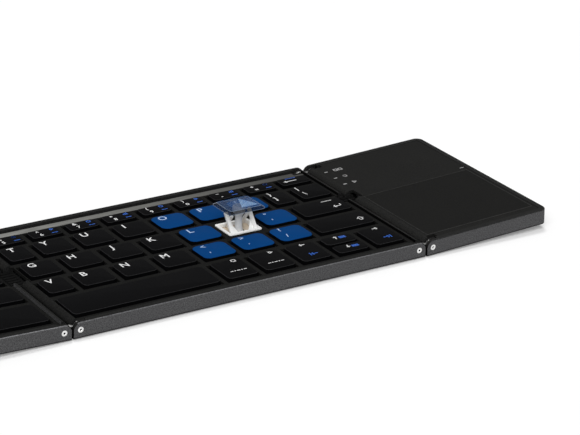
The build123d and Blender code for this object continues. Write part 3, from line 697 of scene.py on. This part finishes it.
# ---------------------------------------------------------------- opened key
OPEN_LO, OPEN_HI = box_mm("open_key_cap")
OPEN_X = (OPEN_LO.x + OPEN_HI.x) / 2
OPEN_Y = (OPEN_LO.y + OPEN_HI.y) / 2
RING_LO, RING_HI = box_mm("open_key_base")
LEVER_Z = pin_mm("clear_key_outer_frame").z
OUTER_Y = pin_mm("clear_key_outer_frame").y
INNER_Y = pin_mm("clear_key_inner_frame").y
OPEN_ANGLE = 52.0        # degrees that the scissor's arms are raised

CLEAR_FOOT = (9.2, 7.5)  # half width and half depth of the clear skirt at its foot
CLEAR_TOP = (7.9, 6.1)   # and of the flat top
CLEAR_DROP = 0.3         # foot below the CAD plate
CLEAR_SKIN = 0.35
CLEAR_RADIUS = 1.7
CLEAR_RIM = 0.22         # height of the foot painted bright as a highlight
CLEAR_SHOULDER = (0.93, 0.14)   # the skirt's top: its share of the way in, and how far below the top
CLEAR_TOP_EDGE = 0.1
FACET = ((-1.3, -4.6), (7.2, -4.4), (2.4, 4.6))   # corners of the triangle of painted highlight on top, from the key's middle
FACET_SUNK = 0.05
FACET_RISE = 0.02        # it ends at the CAD cap's top, and the clear top is this much lower


def make_clear_cap():
    """Clear shell cap: sloping skirt painted dark as shade, with a foot painted bright as a highlight, thin
    hollow top and a triangle of painted highlight on it.
    """
    bm = bmesh.new()
    z0, z1 = OPEN_LO.z - CLEAR_DROP, OPEN_HI.z - FACET_RISE

    def ring(share, inward, z):
        """Outline between the foot (0) and the top (1), drawn in by the wall."""
        w, d = (foot + share * (top - foot) - inward for foot, top in zip(CLEAR_FOOT, CLEAR_TOP))
        return [(x, y, z) for x, y in rounded(OPEN_X, OPEN_Y, 2 * w, 2 * d, CLEAR_RADIUS - inward)]

    share, drop = CLEAR_SHOULDER
    rings = [ring(1, CLEAR_SKIN, z1 - CLEAR_SKIN), ring(0, CLEAR_SKIN, z0), ring(0, 0, z0),
             ring(0, 0, z0 + CLEAR_RIM), ring(share, 0, z1 - drop), ring(1, 0, z1),
             ring(1, CLEAR_TOP_EDGE, z1)]
    # the skirt's dark is painted shade; the rim and the facet are painted highlights
    top, skirt, rim, facet = range(4)
    loft(bm, rings, [skirt, rim, rim, skirt, rim, top])
    loft(bm, [[(OPEN_X + x, OPEN_Y + y, z) for x, y in FACET] for z in (z1 - FACET_SUNK, z1 + FACET_RISE)],
         facet)
    materials = [clear_top, clear_skirt_shade, clear_rim_highlight, clear_highlight]
    piece = build("clear_cap_shell", bm, materials, "open_key_cap")
    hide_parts("open_key_cap")


WINDOW_W = 13.3          # opening of the white ring
WINDOW_D = 11.1
RING_T = 0.5
RING_W = 16.2            # over the neck that sits in the deck
RING_RADIUS = 1.0
WINDOW_RADIUS = 0.8
COLLAR_GROW = 0.45       # wall of the collar that goes down into the deck
BEARING_X = (1.9, 2.9)   # a bearing's edges, from the key's middle
BEARING_REACH = 0.75     # past the hinge, toward the middle
BEARING_SUNK = 0.1       # into the collar


def make_ring():
    """White ring on the deck with rounded edges, a collar below it and four hinge bearings."""
    bm = bmesh.new()
    d = RING_HI.y - RING_LO.y
    window = rounded(OPEN_X, OPEN_Y, WINDOW_W, WINDOW_D, WINDOW_RADIUS)
    washer(bm, rounded(OPEN_X, OPEN_Y, RING_W, d, RING_RADIUS), window, Z_DECK, Z_DECK + RING_T)
    grow = 2 * COLLAR_GROW
    collar = rounded(OPEN_X, OPEN_Y, WINDOW_W + grow, WINDOW_D + grow, WINDOW_RADIUS)
    washer(bm, collar, window, RING_LO.z, Z_DECK)
    for hinge_y, side in ((OUTER_Y, -1), (INNER_Y, 1)):
        ya, yb = sorted((hinge_y - side * BEARING_REACH, OPEN_Y + side * (WINDOW_D / 2 + BEARING_SUNK)))
        for xa, xb in (BEARING_X, (-BEARING_X[1], -BEARING_X[0])):
            bar(bm, (OPEN_X + xa, ya, RING_LO.z), (OPEN_X + xb, yb, LEVER_Z))
    piece = build("scissor_ring", bm, [white_nylon], "centre_panel", bevel=0.1)
    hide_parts("open_key_base")


BAR_R = 0.45             # hinge bar of a lever
ARM_BACK = 0.3           # an arm's reach behind the hinge
ARM_PAST = 0.4           # and past its length
ARM_RADIUS = 0.5
ARM_EDGE = 0.1
WEB_T = 0.18
WEB_SUNK = 0.1           # into the arm
LEVER_BEVEL = 0.06


def make_lever(node, hinge_y, direction, arm, length, thick, web):
    """Scissor frame: hinge bar, two flat arms with round ends and a thin web at each root.

    arm: inner and outer edge of an arm, from the key's middle. web: width and length of the web."""
    bm = bmesh.new()
    hinge = Matrix.Translation((OPEN_X, hinge_y, LEVER_Z))
    lathe(bm, [(AXIS_R, -arm[1]), (BAR_R, -arm[1]), (BAR_R, arm[1]), (AXIS_R, arm[1])],
          hinge @ Matrix.Rotation(math.radians(90), 4, "Y"), 16)
    raised = hinge @ Matrix.Rotation(math.radians(direction * OPEN_ANGLE), 4, "X")
    arms = []
    for side in (-1, 1):
        x0, x1 = sorted((side * arm[0], side * arm[1]))
        ya, yb = sorted((-direction * ARM_BACK, direction * (length + ARM_PAST)))
        outline = rounded((x0 + x1) / 2, (ya + yb) / 2, x1 - x0, yb - ya, ARM_RADIUS, 4)
        arms += slab(bm, outline, -thick / 2, thick / 2, ARM_EDGE)
        root = side * (arm[0] + WEB_SUNK)
        corner = [(root, 0.0), (root - side * web[0], 0.0), (root, direction * web[1])]
        arms += loft(bm, [[(x, y, z) for x, y in corner] for z in (-thick / 2, WEB_T - thick / 2)])
    bmesh.ops.transform(bm, matrix=raised, verts=[v for ring in arms for v in ring])
    name = node.replace("open_key", "scissor")
    piece = build(name, bm, [white_nylon], node, bevel=LEVER_BEVEL)
    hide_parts(node)


CUP_H = 4.2              # height of its cup


def make_spring():
    """Rubber spring: wide foot, waisted cone and a hollow cup under the cap. The real spring flattens under
    the key.
    """
    lo, hi = box_mm("open_key_dome")
    z0, z1 = lo.z, hi.z
    cup = z1 - CUP_H
    outside = [(2.6, z0), (2.6, z0 + 0.6), (2.3, z0 + 1.4), (1.7, z0 + 4.0), (1.5, cup - 1.0),
               (1.7, cup - 0.2), (2.1, cup + 0.5), (2.6, cup + 1.3), (2.85, cup + 2.2), (2.85, z1 - 0.8),
               (2.7, z1 - 0.2), (2.5, z1)]
    inside = [(2.0, z1), (2.25, z1 - 0.5), (2.3, z1 - 1.4), (1.7, cup + 1.9), (AXIS_R, cup + 1.6)]
    bm = bmesh.new()
    lathe(bm, [(AXIS_R, z0)] + outside + inside, Matrix.Translation((OPEN_X, OPEN_Y, 0)), 40)
    piece = build("rubber_spring", bm, [rubber], "centre_panel")
    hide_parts("open_key_dome")
    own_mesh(piece)


SHEET_Z = (4.62, 4.78)   # under the ring's collar, above the board
SHEET_HOLE = 3.15
SHEET_GROW = 0.6         # wider than the ring's window
SHEET_RADIUS = 0.5


def make_contact_sheet():
    """Cream contact sheet seen through the ring, with a hole for the spring."""
    bm = bmesh.new()
    outer = rounded(OPEN_X, OPEN_Y, WINDOW_W + SHEET_GROW, WINDOW_D + SHEET_GROW, SHEET_RADIUS, 7)
    inner = [(OPEN_X + SHEET_HOLE * math.cos(a), OPEN_Y + SHEET_HOLE * math.sin(a))
             for a in (math.atan2(y - OPEN_Y, x - OPEN_X) for x, y in outer)]
    washer(bm, outer, inner, *SHEET_Z)
    build("contact_sheet", bm, [cream_sheet], "centre_panel")


make_clear_cap()
make_ring()
make_lever("open_key_outer_frame", OUTER_Y, 1, arm=(4.9, 6.5), length=9.5, thick=1.1, web=(2.6, 5.4))
make_lever("open_key_inner_frame", INNER_Y, -1, arm=(3.0, 4.75), length=7.7, thick=0.7, web=(1.6, 2.4))
make_spring()
make_contact_sheet()

# ---------------------------------------------------------------- printed marks
# A mark is (what, x, y, size). what: a character or the name of an icon. x: from the cap's left edge to the
# middle of the mark, and y: from its rear edge. size: of the letter, or half the icon's height.
INK = 0.02               # height of the print over the cap
STROKE = 0.42            # width of a printed line
WEIGHT = 0.012           # a letter is grown by this share of its size
RING_SIDES = 14


def ring_points():
    turn = 2 * math.pi / RING_SIDES
    return [(math.cos(turn * i), math.sin(turn * i)) for i in range(RING_SIDES + 1)]


ARROW = ([(-1.3, 0), (1.3, 0)], [(0.5, 0.8), (1.3, 0), (0.5, -0.8)])
SHIFT_OUTLINE = [(0, 1), (1, 0), (0.45, 0), (0.45, -1), (-0.45, -1), (-0.45, 0), (-1, 0), (0, 1)]
ICONS = {
    "right": ARROW,
    "left": [[(-x, y) for x, y in line] for line in ARROW],
    "up": [[(y, x) for x, y in line] for line in ARROW],
    "down": [[(y, -x) for x, y in line] for line in ARROW],
    "long_left": [[(3.4, 0), (-3.4, 0)], [(-2.2, 0.8), (-3.4, 0), (-2.2, -0.8)]],
    "shift": [SHIFT_OUTLINE],
    "lock": [SHIFT_OUTLINE, [(-0.7, -1.5), (0.7, -1.5)]],
    "return": [[(1.6, 1), (1.6, -0.3), (-1.6, -0.3)], [(-0.8, 0.5), (-1.6, -0.3), (-0.8, -1.1)]],
    "tab": [[(-1.6, 0), (1.2, 0)], [(0.5, 0.7), (1.2, 0), (0.5, -0.7)], [(1.7, 0.9), (1.7, -0.9)]],
    "first": [[(-1.6, 1), (-1.6, -1)], [(1.8, 0), (-1, 0)], [(-0.2, 0.8), (-1, 0), (-0.2, -0.8)]],
    "last": [[(1.6, 1), (1.6, -1)], [(-1.8, 0), (1, 0)], [(0.2, 0.8), (1, 0), (0.2, -0.8)]],
    "page": [[(-1.8, 0.8), (1.8, 0.8)], [(-1.8, 0), (1.8, 0)], [(-1.8, -0.8), (1.8, -0.8)]],
    "ring": [ring_points()],
    "square": [[(-1, -1), (1, -1), (1, 1), (-1, 1), (-1, -1)]],
    "triangle": [[(-0.8, -1), (1, 0), (-0.8, 1), (-0.8, -1)]],
    "bars": [[(-1, -1), (-1, 0)], [(0, -1), (0, 0.5)], [(1, -1), (1, 1)]],
    "pair": [[(-1, 0), (-0.2, 0)], [(0.3, 0), (1.3, 0)]],
    "row": [[(-4, 0), (-3, 0)], [(-2, 0), (-1.6, 0)], [(-0.6, 0), (0.6, 0)], [(1.6, 0), (2, 0)],
            [(3, 0), (4, 0)]],
}


def stroke(bm, a, b, width, z):
    """Printed line between two points."""
    a, b = Vector(a), Vector(b)
    along = (b - a).normalized() * width / 2
    across = Vector((-along.y, along.x))
    outline = [a - along - across, b + along - across, b + along + across, a - along + across]
    loft(bm, [[(p.x, p.y, z + lift) for p in outline] for lift in (-INK, INK)])


def letter(bm, text, x, y, size, z):
    """One printed character, its middle at x and y."""
    curve = bpy.data.curves.new("letter", "FONT")
    curve.body = text
    curve.size = size
    curve.extrude = INK
    curve.offset = WEIGHT * size
    curve.resolution_u = 3
    holder = bpy.data.objects.new("letter", curve)
    mesh = bpy.data.meshes.new_from_object(holder)
    xs = [v.co.x for v in mesh.vertices]
    ys = [v.co.y for v in mesh.vertices]
    mesh.transform(Matrix.Translation((x - (min(xs) + max(xs)) / 2, y - (min(ys) + max(ys)) / 2, z)))
    bm.from_mesh(mesh)
    bpy.data.objects.remove(holder)
    bpy.data.curves.remove(curve)
    bpy.data.meshes.remove(mesh)


def print_marks(name, caps, ink, node, tilt=FLAT):
    """Prints marks on the caps of a node. caps: the box of each cap with its list of marks."""
    bm = bmesh.new()
    for (lo, hi), marks in caps:
        left, rear = lo.x + TAB_REACH, hi.y - FLARE
        for what, x, y, size in marks:
            if what in ICONS:
                for line in ICONS[what]:
                    at = [(left + x + px * size, rear - y + py * size) for px, py in line]
                    for a, b in zip(at, at[1:]):
                        stroke(bm, a, b, STROKE, hi.z)
            else:
                letter(bm, what, left + x, rear - y, size, hi.z)
    build(name, bm, [ink], node, tilt)


LETTER = 5.2
SIGN = 4.0
DIGIT = 3.1
DASHES = ("row", 8.2, 11.4, 0.9)   # in place of a word


def letter_mark(text):
    return (text, 5.3, 2.7, LETTER)


def sign_pair(upper, lower):
    return [(upper, 5.0, 2.0, SIGN), (lower, 5.0, 8.6, SIGN)]


def digit_pair(upper, lower):
    return [(upper, 4.6, 2.3, DIGIT), (lower, 5.2, 5.7, DIGIT)]


def small_icon(icon):
    return (icon, 11.0, 2.2, 0.9)


WHITE_MARKS = {
    "key_bracket_open": [("{", 4.4, 2.4, SIGN), ("[", 4.4, 8.0, SIGN)],
    "key_bracket_close": [("}", 3.0, 2.2, SIGN), ("]", 3.0, 7.5, SIGN)],
    "key_backslash": [("|", 3.3, 2.2, SIGN), ("\\", 4.0, 7.9, SIGN)],
    "key_quote": sign_pair('"', "'"),
    "key_comma": sign_pair("<", ","),
    "key_period": sign_pair(">", "."),
    "key_slash": sign_pair("?", "/"),
    "key_modifier_a": [small_icon("square"), DASHES],
    "key_modifier_b": [small_icon("triangle"), DASHES],
    "key_arrow_left": [("left", 8.6, 2.0, 0.9)],
    "key_arrow_right": [("right", 8.9, 2.0, 0.9)],
    "key_arrow_up": [("up", 7.4, 2.4, 0.8)],
    "key_arrow_down": [("down", 7.4, 3.0, 0.8)],
}
BLUE_MARKS = {
    "key_arrow_left": [("first", 8.4, 11.8, 1.0)],
    "key_arrow_right": [("last", 9.1, 11.6, 1.0)],
    "key_arrow_up": [("page", 10.6, 2.8, 0.8)],
    "key_arrow_down": [("page", 10.6, 3.6, 0.8)],
}
for node in SINGLE_KEYS:
    lo, hi = box_mm(node)
    width = hi.x - lo.x - 2 * TAB_REACH
    marks = WHITE_MARKS.get(node, [])
    if len(node) == len("key_t"):
        marks = [letter_mark(node[-1].upper())]
    elif node == "key_enter":
        marks = [("return", width - 5.6, 8.6, 1.2), ("row", width - 7.2, 2.2, 0.6)]
    elif node == "key_shift":
        marks = [("shift", width - 4.6, 7.6, 1.5)]
    on_blue = node in BLUE_KEYS
    legend = node.replace("key_", "legend_")
    if marks:
        ink = ink_soft if on_blue else ink_white
        print_marks(legend, [((lo, hi), marks)], ink, node)
    if node in BLUE_MARKS:
        print_marks(legend + "_blue", [((lo, hi), BLUE_MARKS[node])], ink_blue, node)

SMALL_ICONS = ("ring", "triangle", "square", "bars", "square", "triangle", "bars", "ring")
digit_marks = [digit_pair(upper, lower) for upper, lower in zip("%^&*()_+", "567890-=")]
digit_extras = [[(icon, 11.4, 2.3, 0.8), ("pair", 11.2, 5.9, 1.0)] for icon in SMALL_ICONS]
digit_marks.append([("long_left", 5.8, 4.2, 0.9)])
digit_extras.append([("row", 7.5, 1.4, 0.6)])
DIGIT_NODE = "centre_number_keys"
digit_caps = solid_boxes(DIGIT_NODE)
print_marks("legend_digits", zip(digit_caps, digit_marks), ink_white, DIGIT_NODE)
print_marks("legend_digits_blue", zip(digit_caps, digit_extras), ink_blue, DIGIT_NODE)

OUTER_MARKS = (("ring", 4.8, 4.0, 1.0), ("tab", 5.0, 3.0, 1.0), ("lock", 5.0, 3.0, 1.0),
               ("shift", 5.0, 3.2, 1.3), DASHES)
LEFT_LETTERS = ("1234", "QWER", "ASDF", "ZXC", "")
for node, outer, letters in zip(LEFT_ROWS, OUTER_MARKS, LEFT_LETTERS):
    caps = solid_boxes(node, LEFT)
    marks = [[outer]]
    if node.endswith("row1"):
        marks += [digit_pair(upper, lower) for upper, lower in zip("!@#$", letters)]
    elif node.endswith("row5"):
        marks += [[small_icon("square"), DASHES], [small_icon("ring")]]
    else:
        marks += [[letter_mark(text)] for text in letters]
    print_marks(node.replace("keys", "legend"), zip(caps, marks), ink_white, node, LEFT)

# ---------------------------------------------------------------- touchpad marks
PAD_END = SEAM_R + 64.5  # far end of the touchpad panel
LAMP_X = 5.6             # from the seam
LAMP_REAR = 11.55        # from the rear to the first lamp
LAMP_PITCH = 7.8
LAMP_W = 1.7
LAMP_L = 0.65
LAMP_SUNK = 0.2
LAMP_BEVEL = 0.08
Z_PAD = Z_DECK + 1.2     # top of the touchpad's cover
ICON_X = 5.0             # from a lamp to its icon
ICON_STEP = 2.4          # from an icon to the one beside it
ICON_SIZE = (0.8, 0.9)
ICON_STROKE = 0.5
DASH_IN = (5.4, 3.6)     # ends of the far dash, from the panel's far end
DASH_Y = 8.6
DASH_STROKE = 0.4
TOUCH_EDGE = 0.3         # width of the line round the touch area


def make_pad_marks():
    """Three lamp windows in their slits, an icon beside each, a far dash and the touch area's edge."""
    lamps, icons, edge = bmesh.new(), bmesh.new(), bmesh.new()
    x = SEAM_R + LAMP_X
    for i, shapes in enumerate((("square", "square"), ("ring",), ("triangle",))):
        y = REAR - LAMP_REAR - i * LAMP_PITCH
        bar(lamps, (x - LAMP_W / 2, y - LAMP_L / 2, Z_PAD - LAMP_SUNK),
            (x + LAMP_W / 2, y + LAMP_L / 2, Z_PAD))
        for k, shape in enumerate(shapes):
            for line in ICONS[shape]:
                at = [(x + ICON_X + ICON_STEP * k + ICON_SIZE[0] * px, y + ICON_SIZE[1] * py)
                      for px, py in line]
                for a, b in zip(at, at[1:]):
                    stroke(icons, a, b, ICON_STROKE, Z_PAD)
    stroke(icons, *((PAD_END - inward, DASH_Y) for inward in DASH_IN), DASH_STROKE, Z_PAD)
    lo, hi = solid_boxes("touch_surface", PAD)[0]
    z0, z1 = hi.z - TOUCH_EDGE, hi.z + INK
    for x in (lo.x, hi.x - TOUCH_EDGE):
        bar(edge, (x, lo.y, z0), (x + TOUCH_EDGE, hi.y, z1))
    for y in (lo.y, hi.y - TOUCH_EDGE):
        bar(edge, (lo.x + TOUCH_EDGE, y, z0), (hi.x - TOUCH_EDGE, y + TOUCH_EDGE, z1))
    build("touch_edge", edge, [pad_line], "touchpad_panel", PAD)
    build("lamp_windows", lamps, [ink_grey], "touchpad_panel", PAD, bevel=LAMP_BEVEL)
    build("pad_icons", icons, [ink_grey], "touchpad_panel", PAD)


make_pad_marks()

# ---------------------------------------------------------------- camera, floor and light
AZIMUTH = -32.9813       # degrees
ELEVATION = 22.8246
ROLL = 1.8008
LENS = 151.0775
SENSOR = 36.0
CLIP = (0.05, 20.0)      # metres
DISTANCE = 1025.0343
ASIDE = 39.499           # the camera stands this far to its own right and above its line
ABOVE = 15.682


def toward(az, el):
    """Direction from the object to a camera or lamp, from its azimuth and elevation in radians."""
    return Vector((math.sin(az) * math.cos(el), -math.cos(az) * math.cos(el), math.sin(el)))


def make_camera():
    az, el, roll = (math.radians(a) for a in (AZIMUTH, ELEVATION, ROLL))
    back = toward(az, el)
    level = Vector((0, 0, 1)).cross(back).normalized()
    over = back.cross(level)
    right = math.cos(roll) * level + math.sin(roll) * over
    up = math.cos(roll) * over - math.sin(roll) * level
    middle_x = (SEAM_L + SEAM_R) / 2
    place = ASIDE * right + ABOVE * up + DISTANCE * back + Vector((middle_x, 0, 0))
    data = bpy.data.cameras.new("camera")
    data.lens = LENS
    data.sensor_width = SENSOR
    data.clip_start, data.clip_end = CLIP
    camera = bpy.data.objects.new("camera", data)
    turn = Matrix((right, up, back)).transposed()
    camera.matrix_world = Matrix.Translation(place * MM) @ turn.to_4x4()
    bpy.context.scene.collection.objects.link(camera)
    bpy.context.scene.camera = camera


def sees_background(tree):
    """1 for camera, glossy and transmission rays."""
    rays = tree.nodes.new("ShaderNodeLightPath")
    total = rays.outputs["Is Camera Ray"]
    for name in ("Is Glossy Ray", "Is Transmission Ray"):
        node = tree.nodes.new("ShaderNodeMath")
        node.operation = "MAXIMUM"
        tree.links.new(total, node.inputs[0])
        tree.links.new(rays.outputs[name], node.inputs[1])
        total = node.outputs["Value"]
    return total


FLOOR_GREY = 0.8         # part of the floor's light that comes from the lamps
FLOOR_REACH = 3.0        # metres from the middle


def make_floor():
    bm = bmesh.new()
    for sx, sy in ((-1, -1), (1, -1), (1, 1), (-1, 1)):
        bm.verts.new((sx * FLOOR_REACH, sy * FLOOR_REACH, 0))
    bm.faces.new(bm.verts)
    mesh = bpy.data.meshes.new("floor")
    bm.to_mesh(mesh)
    bm.free()
    floor = bpy.data.objects.new("floor", mesh)
    bpy.context.scene.collection.objects.link(floor)
    s = Shader("pale_floor")
    s.plain(Specular_IOR_Level=0.0, Emission_Color=(1, 1, 1, 1))
    glow = s.math("MULTIPLY", sees_background(s.tree), 1 - FLOOR_GREY)
    s.link(glow, s.surface.inputs["Emission Strength"])
    grey = s.mix(s.noise(400.0), (FLOOR_GREY,) * 3, (FLOOR_GREY * 1.02,) * 3)
    mesh.materials.append(s.finish(grey, 0.9))


AMBIENT = 0.25           # the world's light on the object


def make_world():
    world = bpy.data.worlds.new("studio")
    bpy.context.scene.world = world
    world.use_nodes = True
    tree = world.node_tree
    background = tree.nodes["Background"]
    background.inputs["Color"].default_value = (1, 1, 1, 1)
    node = tree.nodes.new("ShaderNodeMapRange")
    node.inputs["To Min"].default_value = AMBIENT
    node.inputs["To Max"].default_value = 1.0
    tree.links.new(sees_background(tree), node.inputs["Value"])
    tree.links.new(node.outputs["Result"], background.inputs["Strength"])


def make_sun(name, azimuth, elevation, strength, angle):
    """Sun lamp. angle: its width in the sky in degrees, which softens its shadow."""
    back = toward(math.radians(azimuth), math.radians(elevation))
    data = bpy.data.lights.new(name, "SUN")
    data.energy = strength
    data.angle = math.radians(angle)
    lamp = bpy.data.objects.new(name, data)
    lamp.rotation_mode = "QUATERNION"
    lamp.rotation_quaternion = back.to_track_quat("Z", "Y")
    lamp.location = back
    bpy.context.scene.collection.objects.link(lamp)


make_camera()
make_floor()
make_world()
make_sun("key_light", azimuth=-40, elevation=43, strength=2.05, angle=40)
make_sun("top_light", azimuth=165, elevation=76, strength=1.02, angle=14)

scene = bpy.context.scene
scene.view_settings.view_transform = "Standard"
